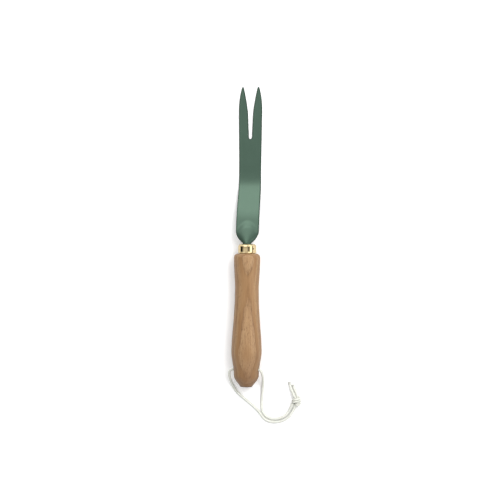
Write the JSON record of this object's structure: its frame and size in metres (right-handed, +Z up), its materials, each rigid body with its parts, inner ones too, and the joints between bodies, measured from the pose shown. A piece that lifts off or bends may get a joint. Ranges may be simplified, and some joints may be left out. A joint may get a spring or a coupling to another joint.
{
  "type": "weeding fork",
  "caption": "Hand weeding fork: cranked pressed steel blade with pointed tines, green powder coat, brass ferrule, turned ash handle and a knotted cotton cord.",
  "frame": {"origin": "on the plane the tool lies on, below the middle of the length from the handle's butt to the tips of the tines", "axes": "+Y along the handle towards the tips, +Z up out of the face that is seen, +X to the right of one who looks down with the tips ahead"},
  "size_m": [0.0772, 0.3585, 0.032],
  "materials": {
    "green_powder_coat": "satin",
    "bare_steel": "satin",
    "polished_brass": "polished",
    "turned_ash": "oiled",
    "cotton_cord": "matte"
  },
  "bodies": {
    "root": {"blade": "green_powder_coat", "tang": "bare_steel", "tang_weld": "bare_steel", "ferrule": "polished_brass", "ferrule_pin": "polished_brass", "handle": "turned_ash", "lanyard_in_handle": "cotton_cord", "lanyard_left_strand": "cotton_cord", "lanyard_right_strand": "cotton_cord", "lanyard_knot": "cotton_cord", "lanyard_left_tail": "cotton_cord", "lanyard_right_tail": "cotton_cord"}
  },
  "joints": []
}
